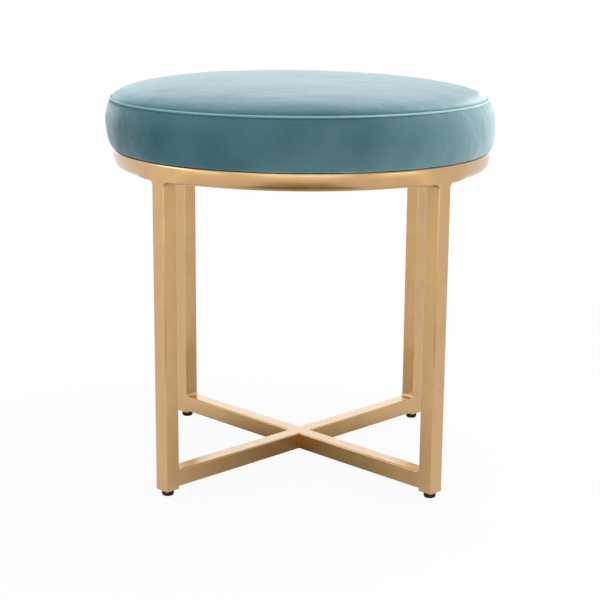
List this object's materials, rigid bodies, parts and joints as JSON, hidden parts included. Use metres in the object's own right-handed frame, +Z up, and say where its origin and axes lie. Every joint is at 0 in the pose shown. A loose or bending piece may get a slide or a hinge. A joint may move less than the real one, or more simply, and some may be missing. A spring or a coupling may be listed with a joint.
{
  "type": "round upholstered ottoman",
  "caption": "Round ottoman with a crowned, welted velvet cushion on a brass-finished ring, square-tube legs on the diagonals, a low crossed stretcher and screw-in glides.",
  "frame": {"origin": "on the floor, under the centre of the seat", "axes": "+Z up along the seat's centre line, -Y towards the viewer of the picture, legs on the diagonals"},
  "size_m": [0.4564, 0.4564, 0.4636],
  "materials": {
    "frame_metal": "satin brass plating on steel tube",
    "cover_velvet": "short-pile velvet, dusty teal",
    "glide_nylon": "moulded black nylon",
    "fixing_steel": "zinc plated",
    "seat_plywood": "raw birch plywood",
    "seat_foam": "open-cell upholstery foam",
    "lining_cloth": "spun-bonded black dust cloth"
  },
  "bodies": {
    "frame": {"leg_back_right": "frame_metal", "leg_plug_back_right": "fixing_steel", "leg_back_left": "frame_metal", "leg_plug_back_left": "fixing_steel", "leg_front_left": "frame_metal", "leg_plug_front_left": "fixing_steel", "leg_front_right": "frame_metal", "leg_plug_front_right": "fixing_steel", "stretcher_long": "frame_metal", "stretcher_half_left": "frame_metal", "stretcher_half_right": "frame_metal", "seat_ring": "frame_metal", "seat_tab_right": "frame_metal", "seat_screw_right": "fixing_steel", "washer_right": "fixing_steel", "tee_nut_right": "fixing_steel", "seat_tab_back": "frame_metal", "seat_screw_back": "fixing_steel", "washer_back": "fixing_steel", "tee_nut_back": "fixing_steel", "seat_tab_left": "frame_metal", "seat_screw_left": "fixing_steel", "washer_left": "fixing_steel", "tee_nut_left": "fixing_steel", "seat_tab_front": "frame_metal", "seat_screw_front": "fixing_steel", "washer_front": "fixing_steel", "tee_nut_front": "fixing_steel", "seat_board": "seat_plywood", "seat_foam": "seat_foam", "top_panel": "cover_velvet", "side_band": "cover_velvet", "seam_welt": "cover_velvet", "dust_cover": "lining_cloth"},
    "glide_back_right_pad": {"glide_foot_back_right": "glide_nylon"},
    "glide_back_right_screw": {"glide_stud_back_right": "fixing_steel"},
    "glide_back_left_pad": {"glide_foot_back_left": "glide_nylon"},
    "glide_back_left_screw": {"glide_stud_back_left": "fixing_steel"},
    "glide_front_left_pad": {"glide_foot_front_left": "glide_nylon"},
    "glide_front_left_screw": {"glide_stud_front_left": "fixing_steel"},
    "glide_front_right_pad": {"glide_foot_front_right": "glide_nylon"},
    "glide_front_right_screw": {"glide_stud_front_right": "fixing_steel"}
  },
  "joints": [
    {"name": "glide_back_right_travel", "type": "slide", "parent": "frame", "child": "glide_back_right_pad", "axis": [0, 0, -1], "range_m": [0, 0.01]},
    {"name": "glide_back_right_turn", "type": "hinge", "parent": "glide_back_right_pad", "child": "glide_back_right_screw", "pos_m": [0.14991, 0.14991, 0], "axis": [0, 0, -1], "range_deg": [0, 3600]},
    {"name": "glide_back_left_travel", "type": "slide", "parent": "frame", "child": "glide_back_left_pad", "axis": [0, 0, -1], "range_m": [0, 0.01]},
    {"name": "glide_back_left_turn", "type": "hinge", "parent": "glide_back_left_pad", "child": "glide_back_left_screw", "pos_m": [-0.14991, 0.14991, 0], "axis": [0, 0, -1], "range_deg": [0, 3600]},
    {"name": "glide_front_left_travel", "type": "slide", "parent": "frame", "child": "glide_front_left_pad", "axis": [0, 0, -1], "range_m": [0, 0.01]},
    {"name": "glide_front_left_turn", "type": "hinge", "parent": "glide_front_left_pad", "child": "glide_front_left_screw", "pos_m": [-0.14991, -0.14991, 0], "axis": [0, 0, -1], "range_deg": [0, 3600]},
    {"name": "glide_front_right_travel", "type": "slide", "parent": "frame", "child": "glide_front_right_pad", "axis": [0, 0, -1], "range_m": [0, 0.01]},
    {"name": "glide_front_right_turn", "type": "hinge", "parent": "glide_front_right_pad", "child": "glide_front_right_screw", "pos_m": [0.14991, -0.14991, 0], "axis": [0, 0, -1], "range_deg": [0, 3600]}
  ],
  "couplings": [
    {"joint": "glide_back_right_turn", "follows": "glide_back_right_travel", "rad_per_m": 6283.2},
    {"joint": "glide_back_left_turn", "follows": "glide_back_left_travel", "rad_per_m": 6283.2},
    {"joint": "glide_front_left_turn", "follows": "glide_front_left_travel", "rad_per_m": 6283.2},
    {"joint": "glide_front_right_turn", "follows": "glide_front_right_travel", "rad_per_m": 6283.2}
  ]
}
